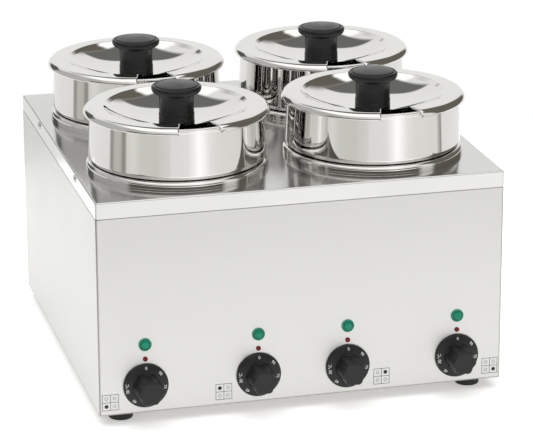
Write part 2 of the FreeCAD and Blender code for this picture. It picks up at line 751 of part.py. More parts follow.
def make_pot(x, y):
    """Soup pot: drawn floor, slim lower wall, rounded shoulder, tapering neck and hemmed rim."""
    t = POT_SHEET
    cap = BODY_TOP
    floor_z = cap + POT_RIM_TOP - POT_DEPTH
    corner = (POT_LOWER_R - POT_CORNER_R, floor_z + POT_CORNER_R)
    shoulder = (POT_BELLY_R - SHOULDER_R, cap + SHOULDER_Z)
    taper_top = cap + POT_RIM_LOW
    rim_low = cap + POT_RIM_LOW + 1.2
    rim_top = cap + POT_RIM_TOP - 1.9
    steps = [
        (0, floor_z),
        arc(corner, POT_CORNER_R, 270, 360),
        (POT_LOWER_R, cap + SHOULDER_Z - SHOULDER_R),
        arc(shoulder, SHOULDER_R, 270, 360),
        (POT_NECK_R, taper_top),
        (POT_RIM_R - 1.2, taper_top),
        arc((POT_RIM_R - 1.2, rim_low), 1.2, 270, 360),
        arc((POT_RIM_R - 1.9, rim_top), 1.9, 0, 180),
        (POT_RIM_INNER_R, taper_top),
        (POT_BELLY_R - t, cap + SHOULDER_Z),
        arc(shoulder, SHOULDER_R - t, 360, 270),
        (POT_LOWER_R - t, cap + SHOULDER_Z - SHOULDER_R + t),
        arc(corner, POT_CORNER_R - t, 360, 270),
        (0, floor_z + t),
    ]
    return turned(steps, x, y)


def lid_surface(offset):
    """Upper line of the lid from the axis to the outer edge, shifted down by an offset."""
    top = BODY_TOP + LID_TOP
    seat_z = BODY_TOP + LID_SEAT_Z
    rise = LID_TOP - LID_STEP_DROP - LID_SEAT_Z
    span = LID_STEP_IN_R - LID_SEAT_R
    dish = (span * span + rise * rise) / (2 * rise)
    dish_end = 270 + math.degrees(math.asin(span / dish))
    slope = math.atan2(LID_STEP_DROP, LID_STEP_OUT_R - LID_STEP_IN_R)
    step_centre_r = LID_STEP_OUT_R + LID_STEP_ROUND * math.tan(slope / 2)
    roll_end = math.degrees(math.asin(1 - LID_EDGE_DROP / LID_ROLL))
    return [
        (0, seat_z - offset),
        arc((LID_SEAT_R, seat_z + dish - offset), dish, 270, dish_end),
        arc((step_centre_r, top - LID_STEP_ROUND - offset), LID_STEP_ROUND, 90 + math.degrees(slope), 90),
        arc((LID_ROLL_START, top - LID_ROLL), LID_ROLL - offset, 90, roll_end),
    ]


def notch_prism():
    """Prism of the ladle notch: straight inner edge, slanted sides, rounded inner corners."""
    inner = NOTCH_INNER_W / 2
    near = -NOTCH_INNER_Y
    far = near - 2 * (LID_R - NOTCH_INNER_Y)
    wide = NOTCH_OUTER_W - inner
    prism = plate([(-wide, far), (wide, far), (inner, near), (-inner, near)],
                  BODY_TOP + LID_SEAT_Z, BODY_TOP + LID_TOP + 1)
    corners = [edge for edge in prism.Edges
               if abs(edge.tangentAt(0).z) > 0.9 and edge.BoundBox.YMin > -LID_R]
    return prism.makeFillet(NOTCH_ROUND, corners)


def make_lid(x, y):
    """Pressed lid: dished middle, flat flange, edge rolled down over the pot rim, ladle notch."""
    upper = lid_surface(0)
    lower = lid_surface(LID_SHEET)
    back = []
    for step in reversed(lower):
        back.append(list(reversed(step)) if isinstance(step, list) else step)
    shape = turned(upper + back)
    hole = Part.makeCylinder(KNOB_HOLE_R, 20, FreeCAD.Vector(0, 0, BODY_TOP + LID_SEAT_Z - 10))
    notch = notch_prism().rotated(FreeCAD.Vector(0, 0, 0), UP, NOTCH_ANGLE)
    return shape.cut([hole, notch]).translated(FreeCAD.Vector(x, y, 0))


def make_lid_knob(x, y):
    """Mushroom knob: ringed foot, waisted neck, rounded head with a groove and a domed disc on top."""
    widest = KNOB_HEIGHT - KNOB_HEAD_DROP
    disc_z = KNOB_HEIGHT - KNOB_DISC_RISE
    dome = (KNOB_DISC_R ** 2 + KNOB_DISC_RISE ** 2) / (2 * KNOB_DISC_RISE)
    dome_start = math.degrees(math.acos(KNOB_DISC_R / dome))
    neck_r = KNOB_BASE_R - 0.3
    throat_z = widest - KNOB_LIP_UNDER - KNOB_THROAT - 0.6
    steps = [
        (0, 0),
        (KNOB_BASE_R, 0),
        (KNOB_BASE_R, 3.2),
        (KNOB_BASE_R - 0.5, 3.6),
        (KNOB_BASE_R - 0.5, 4.2),
        (KNOB_BASE_R - 0.1, 4.6),
        (KNOB_BASE_R - 0.2, 7.6),
        (KNOB_BASE_R - 0.7, 8.0),
        (KNOB_BASE_R - 0.7, 8.6),
        (KNOB_BASE_R - 0.4, 9.0),
        [(KNOB_BASE_R - 0.4, 9.0), (KNOB_NECK_R, 17.0), (neck_r, throat_z)],
        arc((neck_r + KNOB_THROAT, throat_z), KNOB_THROAT, 180, 120),
        arc((KNOB_HEAD_R - KNOB_LIP_UNDER, widest), KNOB_LIP_UNDER, -62, 0),
        arc((KNOB_HEAD_R - KNOB_LIP_OVER, widest), KNOB_LIP_OVER, 0, 80),
        (KNOB_DISC_R + 1.2, disc_z - 0.7),
        (KNOB_DISC_R, disc_z - 0.7),
        arc((0, KNOB_HEIGHT - dome), dome, dome_start, 90),
    ]
    shape = turned(steps).cut(Part.makeCylinder(KNOB_THREAD_R, KNOB_THREAD_DEPTH))
    return shape.translated(FreeCAD.Vector(x, y, BODY_TOP + LID_SEAT_Z))


def make_lid_screw(x, y):
    """Screw up through the lid into the knob, with a washer face under the head."""
    low = BODY_TOP + LID_SEAT_Z - LID_SHEET
    steps = [
        (0, low - 3.4),
        arc((3.6, low - 2.0), 1.4, 270, 360),
        (5.0, low - 1.0),
        (6.5, low - 1.0),
        (6.5, low),
        (2.45, low),
        (2.45, low + 13),
        (0, low + 13),
    ]
    return turned(steps, x, y)


# ---- build --------------------------------------------------------------------------------------

os.makedirs("parts", exist_ok=True)

save("casing_wrap", make_casing_wrap())
save("rear_panel", make_rear_panel())
save("base_plate", make_base_plate())
save("top_cover", make_top_cover())

for station, (px, py) in STATIONS.items():
    save("well_" + station, make_well(px, py))
    save("heater_" + station, make_heater(px, py))
    save("pot_" + station, make_pot(px, py))
    save("lid_" + station, make_lid(px, py))
    save("lid_knob_" + station, make_lid_knob(px, py))
    save("lid_screw_" + station, make_lid_screw(px, py))

for station, dial_x in DIAL_PLACES.items():
    save("thermostat_" + station, make_thermostat(dial_x))
    save("spindle_" + station, make_spindle(dial_x))
    save("dial_" + station, make_dial(dial_x))
    save("power_lamp_" + station, make_power_lamp(dial_x))

save("heating_lamps", *make_heating_lamps())
save("heater_bolts", *make_heater_bolts())
save("heater_leads", *make_heater_leads())
save("safety_cutouts", *make_safety_cutouts())
save("thermostat_bulbs", *make_thermostat_bulbs())
save("terminal_block", make_terminal_block())
save("earth_terminal", make_earth_terminal())
save("wiring_loom", make_wiring_loom())
save("cable_gland", make_cable_gland())
save("gland_nut", make_gland_nut())

for station, (foot_x, foot_y) in foot_places().items():
    save("foot_" + station, make_foot(foot_x, foot_y))
save("foot_fasteners", *make_foot_fasteners())

panel_places = cover_screw_places() + rear_screw_places() + base_screw_places() + thermostat_screw_places()
save("panel_screws", *[aimed(pan_screw(PANEL_SCREW_L), way, at) for at, way in panel_places])
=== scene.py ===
import json
import math

import bmesh
import bpy
from mathutils import Matrix, Vector


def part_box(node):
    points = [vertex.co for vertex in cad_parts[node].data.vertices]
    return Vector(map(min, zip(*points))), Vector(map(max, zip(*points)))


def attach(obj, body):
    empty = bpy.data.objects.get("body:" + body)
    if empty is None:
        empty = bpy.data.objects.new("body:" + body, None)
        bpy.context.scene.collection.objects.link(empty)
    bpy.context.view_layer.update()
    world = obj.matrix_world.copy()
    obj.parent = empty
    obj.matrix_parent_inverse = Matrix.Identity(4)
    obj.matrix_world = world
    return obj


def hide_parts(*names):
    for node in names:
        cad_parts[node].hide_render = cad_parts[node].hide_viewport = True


# Looks of a four-pot electric soup kettle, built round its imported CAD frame. Metres, front towards -Y.

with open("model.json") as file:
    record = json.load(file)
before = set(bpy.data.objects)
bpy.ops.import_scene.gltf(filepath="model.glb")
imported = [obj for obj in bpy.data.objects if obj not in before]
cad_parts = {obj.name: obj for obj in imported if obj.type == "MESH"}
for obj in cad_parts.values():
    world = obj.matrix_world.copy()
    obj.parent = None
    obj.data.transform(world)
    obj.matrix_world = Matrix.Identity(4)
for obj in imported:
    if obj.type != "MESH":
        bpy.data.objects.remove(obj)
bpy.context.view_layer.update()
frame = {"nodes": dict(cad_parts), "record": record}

STATIONS = ("front_left", "front_right", "rear_left", "rear_right")
HOUSING = "housing"
COVER_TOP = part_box("top_cover")[1].z
PANEL_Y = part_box("casing_wrap")[0].y

MIRROR_SEGMENTS = 256
KNOB_SEGMENTS = 96
LAMP_SEGMENTS = 96
BEAD_SEGMENTS = 64
DISC_SEGMENTS = 144
PRINT_SEGMENTS = 40


# ---- camera -------------------------------------------------------------------------------------

CAMERA_PLACE = (-0.8124, -3.1970, 1.2344)
CAMERA_YAW = -14.57
CAMERA_PITCH = 18.053
CAMERA_ROLL = -0.18
CAMERA_LENS = 183.9


def make_camera():
    """Long lens, to the left of the front and above the lids."""
    data = bpy.data.cameras.new("camera")
    data.lens = CAMERA_LENS
    data.sensor_width = 36.0
    data.clip_end = 50.0
    camera = bpy.data.objects.new("camera", data)
    bpy.context.scene.collection.objects.link(camera)
    turn = Matrix.Rotation(math.radians(CAMERA_YAW), 4, "Z")
    tilt = Matrix.Rotation(math.radians(90 - CAMERA_PITCH), 4, "X")
    roll = Matrix.Rotation(math.radians(CAMERA_ROLL), 4, "Z")
    camera.matrix_world = Matrix.Translation(CAMERA_PLACE) @ turn @ tilt @ roll
    bpy.context.scene.camera = camera


# ---- mesh helpers -------------------------------------------------------------------------------

def add_mesh(name, points, faces, body, material, sharp=35.0):
    """A smooth-shaded mesh piece that rides on a body; edges sharper than an angle stay crisp."""
    mesh = bpy.data.meshes.new(name)
    mesh.from_pydata(points, [], faces)
    cleaner = bmesh.new()
    cleaner.from_mesh(mesh)
    bmesh.ops.remove_doubles(cleaner, verts=cleaner.verts, dist=1e-6)
    bmesh.ops.recalc_face_normals(cleaner, faces=cleaner.faces)
    cleaner.to_mesh(mesh)
    cleaner.free()
    mesh.polygons.foreach_set("use_smooth", [True] * len(mesh.polygons))
    mesh.set_sharp_from_angle(angle=math.radians(sharp))
    mesh.materials.append(material)
    piece = bpy.data.objects.new(name, mesh)
    bpy.context.scene.collection.objects.link(piece)
    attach(piece, body)
    return piece


def arc(centre, radius, start, end, steps=12):
    """Points of an arc in the (r, z) half plane, from one angle in degrees to another."""
    points = []
    for k in range(steps + 1):
        angle = math.radians(start + (end - start) * k / steps)
        points.append((centre[0] + radius * math.cos(angle), centre[1] + radius * math.sin(angle)))
    return points


def with_support(profile, margin=0.0006):
    """The profile with extra points near both ends of its long straight runs, to hold them flat."""
    dense = [profile[0]]
    for a, b in zip(profile, profile[1:]):
        length = math.dist(a, b)
        if length > 6 * margin:
            t = margin / length
            count = max(1, int(length / 0.01))
            shares = [t] + [k / count for k in range(1, count)] + [1 - t]
            for share in shares:
                dense.append((a[0] + (b[0] - a[0]) * share, a[1] + (b[1] - a[1]) * share))
        dense.append(b)
    return dense


def lathe(profile, segments, place=Matrix.Identity(4)):
    """Points and faces of a profile of (r, z) turned about the local Z axis, then placed."""
    points = []
    rings = []
    for r, z in profile:
        if r < 1e-7:
            rings.append([len(points)])
            points.append(place @ Vector((0, 0, z)))
            continue
        ring = []
        for k in range(segments):
            angle = 2 * math.pi * k / segments
            ring.append(len(points))
            points.append(place @ Vector((r * math.cos(angle), r * math.sin(angle), z)))
        rings.append(ring)
    return points, ring_faces(rings)


def ring_faces(rings):
    """Faces between neighbouring closed rings of point numbers; a ring of one point is a pole."""
    faces = []
    for low, high in zip(rings, rings[1:]):
        count = max(len(low), len(high))
        for k in range(count):
            n = (k + 1) % count
            if len(low) == 1 and len(high) > 1:
                faces.append((low[0], high[n], high[k]))
            elif len(high) == 1 and len(low) > 1:
                faces.append((low[k], low[n], high[0]))
            elif len(low) > 1:
                faces.append((low[k], low[n], high[n], high[k]))
    return faces


def merged(*shells):
    """Several (points, faces) shells as one."""
    points = []
    faces = []
    for shell_points, shell_faces in shells:
        start = len(points)
        points.extend(shell_points)
        faces.extend(tuple(i + start for i in face) for face in shell_faces)
    return points, faces


def axis_of(node):
    """Middle of a node's box in plan."""
    low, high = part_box(node)
    return (low.x + high.x) / 2, (low.y + high.y) / 2


# ---- materials ----------------------------------------------------------------------------------

def new_material(name):
    material = bpy.data.materials.new(name)
    material.use_nodes = True
    tree = material.node_tree
    shader = tree.nodes["Principled BSDF"]
    return material, tree, shader


def node(tree, kind, **values):
    """A new node with some of its inputs set by name."""
    made = tree.nodes.new(kind)
    for key, value in values.items():
        made.inputs[key.replace("_", " ")].default_value = value
    return made


def object_point(tree, scale=(1, 1, 1)):
    """Object coordinates, stretched by a scale along each axis."""
    source = tree.nodes.new("ShaderNodeTexCoord")
    stretch = tree.nodes.new("ShaderNodeMapping")
    stretch.inputs["Scale"].default_value = scale
    tree.links.new(source.outputs["Object"], stretch.inputs["Vector"])
    return stretch.outputs["Vector"]


def noise(tree, vector, scale, detail=3.0, rough=0.5):
    made = node(tree, "ShaderNodeTexNoise", Scale=scale, Detail=detail, Roughness=rough)
    tree.links.new(vector, made.inputs["Vector"])
    return made.outputs["Fac"]


def spread(tree, value, low, high, from_low=0.3, from_high=0.7):
    """A 0 to 1 pattern mapped to a range of values."""
    made = node(tree, "ShaderNodeMapRange", From_Min=from_low, From_Max=from_high, To_Min=low, To_Max=high)
    tree.links.new(value, made.inputs["Value"])
    return made.outputs["Result"]


def maths(tree, operation, first, second=None):
    """A maths node fed by sockets or plain numbers."""
    made = tree.nodes.new("ShaderNodeMath")
    made.operation = operation
    for k, value in enumerate((first, second)):
        if value is None:
            continue
        if isinstance(value, (int, float)):
            made.inputs[k].default_value = value
        else:
            tree.links.new(value, made.inputs[k])
    return made.outputs[0]


def two_colours(tree, value, dark, light, low=0.3, high=0.7):
    ramp = tree.nodes.new("ShaderNodeValToRGB")
    ramp.color_ramp.elements[0].position = low
    ramp.color_ramp.elements[1].position = high
    ramp.color_ramp.elements[0].color = (*dark, 1)
    ramp.color_ramp.elements[1].color = (*light, 1)
    tree.links.new(value, ramp.inputs["Fac"])
    return ramp.outputs["Color"]


def tone_where(tree, colour, mask, tone):
    """The colour turned to a tone where a mask is 1."""
    mix = tree.nodes.new("ShaderNodeMix")
    mix.data_type = "RGBA"
    sockets = [s for s in mix.inputs if s.type == "RGBA"]
    tree.links.new(mask, mix.inputs["Factor"])
    tree.links.new(colour, sockets[0])
    sockets[1].default_value = (*tone, 1)
    return [s for s in mix.outputs if s.type == "RGBA"][0]


def relief(tree, shader, height, strength, distance):
    bump = node(tree, "ShaderNodeBump", Strength=strength, Distance=distance)
    tree.links.new(height, bump.inputs["Height"])
    tree.links.new(bump.outputs["Normal"], shader.inputs["Normal"])
    return bump


def make_steel(name, dark, light, rough_low, rough_high, grain, grain_depth, wave_depth=0.0):
    """Stainless steel: fine directional grain, cloudy gloss and slight colour drift."""
    material, tree, shader = new_material(name)
    shader.inputs["Metallic"].default_value = 1.0
    clouds = noise(tree, object_point(tree), 7.0, 4.0)
    tree.links.new(two_colours(tree, clouds, dark, light), shader.inputs["Base Color"])
    lines = noise(tree, object_point(tree, grain), 1.0, 2.0)
    mix = node(tree, "ShaderNodeMath")
    mix.operation = "MULTIPLY_ADD"
    tree.links.new(lines, mix.inputs[0])
    mix.inputs[1].default_value = 0.6
    tree.links.new(clouds, mix.inputs[2])
    tree.links.new(spread(tree, mix.outputs[0], rough_low, rough_high, 0.5, 1.1), shader.inputs["Roughness"])
    if grain_depth:
        fine = relief(tree, shader, lines, 0.5, grain_depth)
    if wave_depth:
        waves = node(tree, "ShaderNodeBump", Strength=1.0, Distance=wave_depth)
        tree.links.new(noise(tree, object_point(tree), 22.0, 1.0), waves.inputs["Height"])
        tree.links.new(waves.outputs["Normal"], fine.inputs["Normal"])
    return material


# Painted dark reflection line along the upright folds of the casing.
FOLD_BAND = 0.0016
FOLD_REFLECTION_TONE = (0.30, 0.29, 0.275)
# Painted shade along the bottom edge of the casing, where the sheet turns under.
BOTTOM_SHADE_BAND = 0.0013
BOTTOM_SHADE_TONE = (0.36, 0.34, 0.31)


def paint_fold_reflection_and_bottom_shade(material):
    """Casing sheet: a painted dark reflection line along the upright folds and painted shade along the
    bottom edge, where the sheet turns under.
    """
    tree = material.node_tree
    shader = tree.nodes["Principled BSDF"]
    colour = shader.inputs["Base Color"].links[0].from_socket
    low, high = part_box("casing_wrap")
    split = tree.nodes.new("ShaderNodeSeparateXYZ")
    tree.links.new(object_point(tree), split.inputs[0])
    masks = []
    # Painted dark reflection line along each upright fold of the sheet.
    for axis, reach in (("X", high.x), ("Y", high.y)):
        side = maths(tree, "ABSOLUTE", split.outputs[axis])
        masks.append(spread(tree, side, 0.0, 1.0, reach - 1.5 * FOLD_BAND, reach - 0.5 * FOLD_BAND))
    colour = tone_where(tree, colour, maths(tree, "MULTIPLY", masks[0], masks[1]), FOLD_REFLECTION_TONE)
    # Painted shade along the bottom edge, where the sheet turns under.
    edge = spread(tree, split.outputs["Z"], 1.0, 0.0,
                  low.z + 0.7 * BOTTOM_SHADE_BAND, low.z + 1.2 * BOTTOM_SHADE_BAND)
    colour = tone_where(tree, colour, edge, BOTTOM_SHADE_TONE)
    tree.links.new(colour, shader.inputs["Base Color"])


def make_plastic(name, dark, light, rough_low, rough_high, grain_scale, grain_depth, shine=0.5):
    """Moulded plastic or rubber: faint blotches, uneven gloss and a fine moulded texture."""
    material, tree, shader = new_material(name)
    clouds = noise(tree, object_point(tree), 60.0, 4.0)
    tree.links.new(two_colours(tree, clouds, dark, light), shader.inputs["Base Color"])
    tree.links.new(spread(tree, clouds, rough_low, rough_high), shader.inputs["Roughness"])
    shader.inputs["Specular IOR Level"].default_value = shine
    relief(tree, shader, noise(tree, object_point(tree), grain_scale, 2.0), 0.4, grain_depth)
    return material


def make_ink(name, dark, light, rough_low, rough_high):
    """Printed ink, matt and very finely grained."""
    return make_plastic(name, dark, light, rough_low, rough_high, 2500.0, 0.00001)


def make_lens(name, dark, light):
    """Coloured pilot lamp plastic with a prismatic inside and a glossy face."""
    material, tree, shader = new_material(name)
    cells = tree.nodes.new("ShaderNodeTexVoronoi")
    cells.inputs["Scale"].default_value = 900.0
    tree.links.new(object_point(tree), cells.inputs["Vector"])
    tree.links.new(two_colours(tree, cells.outputs["Distance"], light, dark, 0.1, 0.8),
                   shader.inputs["Base Color"])
    shader.inputs["Subsurface Weight"].default_value = 0.25
    shader.inputs["Subsurface Radius"].default_value = (0.002, 0.002, 0.002)
    shader.inputs["Roughness"].default_value = 0.22
    shader.inputs["Specular IOR Level"].default_value = 0.2
    shader.inputs["Coat Weight"].default_value = 0.25
    shader.inputs["Coat Roughness"].default_value = 0.06
    relief(tree, shader, cells.outputs["Distance"], 0.3, 0.0002)
    return material


STEEL_X = (3.0, 900.0, 900.0)
STEEL_Y = (900.0, 3.0, 900.0)
POLISH = (2.0, 2.0, 1400.0)

materials = {
    "casing_steel": make_steel("casing_steel", (0.635, 0.63, 0.62), (0.675, 0.67, 0.66), 0.30, 0.42,
                               (2.0, 2.0, 1100.0), 0.00002),
    "cover_steel": make_steel("cover_steel", (0.68, 0.675, 0.665), (0.74, 0.735, 0.725), 0.12, 0.20,
                              STEEL_X, 0.00001, 0.00003),
    "polished_steel": make_steel("polished_steel", (0.80, 0.79, 0.775), (0.84, 0.83, 0.815), 0.02, 0.06,
                                 POLISH, 0.0),
    "screw_steel": make_steel("screw_steel", (0.50, 0.49, 0.48), (0.62, 0.61, 0.60), 0.22, 0.36,
                              (500.0, 500.0, 500.0), 0.00001),
    "heater_sheath": make_steel("heater_sheath", (0.34, 0.33, 0.31), (0.48, 0.46, 0.43), 0.35, 0.55,
                                (300.0, 300.0, 300.0), 0.00003),
    "spindle_steel": make_steel("spindle_steel", (0.55, 0.55, 0.54), (0.66, 0.66, 0.65), 0.2, 0.34,
                                STEEL_Y, 0.00001),
    "copper_capillary": make_steel("copper_capillary", (0.62, 0.33, 0.20), (0.80, 0.47, 0.31), 0.25, 0.42,
                                   (300.0, 300.0, 300.0), 0.00001),
    "earth_brass": make_steel("earth_brass", (0.66, 0.50, 0.22), (0.80, 0.65, 0.33), 0.2, 0.36,
                              (500.0, 500.0, 500.0), 0.00001),
    "wire_insulation": make_plastic("wire_insulation", (0.62, 0.58, 0.50), (0.74, 0.70, 0.62), 0.4, 0.55,
                                    1500.0, 0.00002),
    "block_plastic": make_plastic("block_plastic", (0.74, 0.73, 0.69), (0.82, 0.81, 0.77), 0.35, 0.5,
                                  1500.0, 0.00002),
    "gland_plastic": make_plastic("gland_plastic", (0.016, 0.016, 0.017), (0.026, 0.026, 0.027), 0.35, 0.5,
                                  2500.0, 0.00002),
    "knob_plastic": make_plastic("knob_plastic", (0.009, 0.0095, 0.010), (0.015, 0.016, 0.017), 0.26, 0.36,
                                 2200.0, 0.00001, 0.30),
    "dial_plastic": make_plastic("dial_plastic", (0.012, 0.012, 0.012), (0.019, 0.019, 0.019), 0.34, 0.46,
                                 3000.0, 0.00003, 0.32),
    "thermostat_moulding": make_plastic("thermostat_moulding", (0.10, 0.075, 0.055), (0.15, 0.11, 0.08),
                                        0.4, 0.55, 1500.0, 0.00002),
    "foot_rubber": make_plastic("foot_rubber", (0.010, 0.010, 0.011), (0.020, 0.020, 0.021), 0.5, 0.68,
                                1800.0, 0.00005),
    "green_lens": make_lens("green_lens", (0.0, 0.17, 0.09), (0.005, 0.40, 0.25)),
    "red_lens": make_lens("red_lens", (0.10, 0.0, 0.004), (0.30, 0.006, 0.014)),
}
# The casing steel gets a painted dark reflection line at its folds and painted shade along its bottom edge.
paint_fold_reflection_and_bottom_shade(materials["casing_steel"])
figure_white = make_ink("figure_white", (0.66, 0.66, 0.65), (0.78, 0.78, 0.77), 0.45, 0.6)
print_black = make_ink("print_black", (0.008, 0.008, 0.008), (0.016, 0.016, 0.016), 0.5, 0.65)
# Grey ink for the printed frames; the same grey also paints the shade in the power lamp's gap.
grey_print_and_gap_shade = make_ink("grey_print_and_gap_shade", (0.05, 0.05, 0.05), (0.09, 0.09, 0.09), 0.45, 0.6)
print_pale = make_ink("print_pale", (0.16, 0.16, 0.155), (0.24, 0.24, 0.235), 0.45, 0.6)


def dress_cad_nodes():
    """Every CAD node gets the material of its record slot."""
    for row in frame["record"]["subparts"]:
        mesh = frame["nodes"][row["node"]].data
        mesh.materials.clear()
        mesh.materials.append(materials[row["material_slot"]])


# ---- pots, lids and knobs -----------------------------------------------------------------------

POT_SHEET = 0.0008
POT_CORNER = 0.012
POT_LOWER_R = 0.1005
POT_BELLY_R = 0.1075
POT_NECK_R = 0.1051
POT_RIM_LOW = 0.0682
SHOULDER_R = 0.007
SHOULDER_Z = 0.0168


def make_pot(station):
    """Pot with slim lower wall, rounded shoulder, tapering neck and hemmed rim."""
    name = "pot_" + station
    low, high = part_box(name)
    x, y = axis_of(name)
    rim_r = (high.x - low.x) / 2
    t = POT_SHEET
    rim_low = COVER_TOP + POT_RIM_LOW
    shoulder = (POT_BELLY_R - SHOULDER_R, COVER_TOP + SHOULDER_Z)
    corner = (POT_LOWER_R - POT_CORNER, low.z + POT_CORNER)
    outside = [(0, low.z)] + arc(corner, POT_CORNER, 270, 360)
    outside += arc(shoulder, SHOULDER_R, 270, 360, 24)
    outside += arc((POT_NECK_R + 0.0005, rim_low - 0.0006), 0.0005, 180, 90, 4)
    outside += arc((rim_r - 0.0012, rim_low + 0.0012), 0.0012, 270, 360, 8)
    rim = arc((rim_r - 0.0019, high.z - 0.0019), 0.0019, 0, 180, 16)
    inside = [(POT_NECK_R - t, rim_low)]
    inside += arc(shoulder, SHOULDER_R - t, 360, 270, 24)
    inside += arc(corner, POT_CORNER - t, 360, 270) + [(0, low.z + t)]
    profile = with_support(outside + rim + inside)
    points, faces = lathe(profile, MIRROR_SEGMENTS, Matrix.Translation((x, y, 0)))
    piece = add_mesh("soup_pot_" + station, points, faces, "pot_body_" + station,
                     materials["polished_steel"])
    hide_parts(name)


LID_SHEET = 0.0010
LID_TOP = 0.0760
LID_ROLL_START = 0.1038
LID_ROLL = 0.0090
LID_EDGE_DROP = 0.0070
LID_STEP_OUT_R = 0.0880
LID_STEP_IN_R = 0.0828
LID_STEP_DROP = 0.0036
LID_STEP_ROUND = 0.0022
LID_SEAT_R = 0.024
LID_SEAT_Z = 0.0564
NOTCH_INNER_Y = 0.0845
NOTCH_INNER_HALF = 0.0175
NOTCH_OUTER_HALF = 0.0270
NOTCH_ROUND = 0.004
NOTCH_LIP = 0.0024
LID_CURL = 0.0009
LID_CURL_TURN = (25, 50, 75)
NOTCH_ANGLE = -88.2
BISECTIONS = 30


def fillet_in(a, corner, b, radius, steps=6):
    """Points that round one corner of a profile between two straight runs."""
    a, corner, b = Vector(a), Vector(corner), Vector(b)
    back = (a - corner).normalized()
    ahead = (b - corner).normalized()
    half = back.angle(ahead) / 2
    reach = radius / math.tan(half)
    centre = corner + (back + ahead).normalized() * (radius / math.sin(half))
    start = corner + back * reach
    end = corner + ahead * reach
    points = []
    for k in range(steps + 1):
        spoke = (start.lerp(end, k / steps) - centre).normalized()
        points.append(tuple(centre + spoke * radius))
    return points


def lid_profile():
    """Upper line of the lid from its middle to the outer edge, relative to the cover top."""
    end = math.degrees(math.asin(1 - LID_EDGE_DROP / LID_ROLL))
    step_z = LID_TOP - LID_STEP_DROP
    rise = step_z - LID_SEAT_Z
    span = LID_STEP_IN_R - LID_SEAT_R
    dish = (span * span + rise * rise) / (2 * rise)
    dish_end = 270 + math.degrees(math.asin(span / dish))
    points = [(0, LID_SEAT_Z), (LID_SEAT_R * 0.5, LID_SEAT_Z)]
    points += arc((LID_SEAT_R, LID_SEAT_Z + dish), dish, 270, dish_end - 0.6, 40)
    dish_last = points[-1]
    step_in = (LID_STEP_IN_R, step_z)
    step_out = (LID_STEP_OUT_R, LID_TOP)
    flange = (LID_ROLL_START, LID_TOP)
    points += fillet_in(dish_last, step_in, step_out, 0.0014, 5)
    points += fillet_in(step_in, step_out, flange, LID_STEP_ROUND, 12)
    points += arc((LID_ROLL_START, LID_TOP - LID_ROLL), LID_ROLL, 90, end, 24)
    return points


def notch_distance(angle, r, edge_r):
    """Distance of a point of the lid from the rounded outline of the notch, below zero inside it."""
    slope = (NOTCH_OUTER_HALF - NOTCH_INNER_HALF) / (edge_r - NOTCH_INNER_Y)
    across = r * abs(math.sin(angle))
    out = r * math.cos(angle)
    from_inner = NOTCH_INNER_Y - out + NOTCH_ROUND
    side_line = NOTCH_INNER_HALF + slope * (out - NOTCH_INNER_Y)
    from_side = (across - side_line) / math.hypot(1, slope) + NOTCH_ROUND
    corner = math.hypot(max(from_inner, 0), max(from_side, 0))
    return corner + min(max(from_inner, from_side), 0) - NOTCH_ROUND


def notch_reach(angle, edge_r):
    """Distance from the lid's axis to the notch's edge or the rim, by angle from the notch's middle."""
    if math.cos(angle) < 0.9 or notch_distance(angle, edge_r, edge_r) >= 0:
        return edge_r
    inside = LID_STEP_IN_R
    outside = edge_r
    for _ in range(BISECTIONS):
        middle = (inside + outside) / 2
        if notch_distance(angle, middle, edge_r) > 0:
            inside = middle
        else:
            outside = middle
    return inside


def notch_drop(angle, r, edge_r):
    """How far the sheet is turned down beside the notch."""
    beside = min(max((r * math.cos(angle) - NOTCH_INNER_Y - 0.002) / 0.004, 0.0), 1.0)
    if math.cos(angle) < 0.9 or beside == 0:
        return 0.0
    left = NOTCH_LIP - max(notch_distance(angle, r, edge_r), 0.0)
    if left <= 0:
        return 0.0
    return beside * (NOTCH_LIP - math.sqrt(max(NOTCH_LIP ** 2 - left ** 2, 0.0)))


def height_on(profile, r):
    """Height of a profile of (r, z) at a radius."""
    for (r0, z0), (r1, z1) in zip(profile, profile[1:]):
        if r <= r1:
            share = (r - r0) / (r1 - r0) if r1 > r0 else 1.0
            return z0 + (z1 - z0) * share
    return profile[-1][1]


def lid_angles():
    """Angles of the lid's grid, closest together along the notch's sides."""
    inner = math.atan(NOTCH_INNER_HALF / NOTCH_INNER_Y) - 0.05
    outer = math.atan(NOTCH_OUTER_HALF / LID_ROLL_START) + 0.03
    side = [inner + (outer - inner) * k / 90 for k in range(91)]
    middle = [-inner + 2 * inner * k / 20 for k in range(1, 20)]
    rest = [outer + (2 * math.pi - 2 * outer) * k / 220 for k in range(1, 220)]
    return [-a for a in reversed(side)] + middle + side + rest


LID_HOLD_R = 0.0790
LID_ROW = 0.0008


def lid_radii(profile):
    """Radii of the lid's grid rows, from the axis outwards."""
    radii = [p[0] for p in profile if p[0] <= LID_HOLD_R]
    outer = [LID_HOLD_R] + [p[0] for p in profile if p[0] > LID_HOLD_R]
    for a, b in zip(outer, outer[1:]):
        count = max(1, math.ceil((b - a) / LID_ROW))
        radii += [a + (b - a) * k / count for k in range(count)]
    return radii + [outer[-1]]


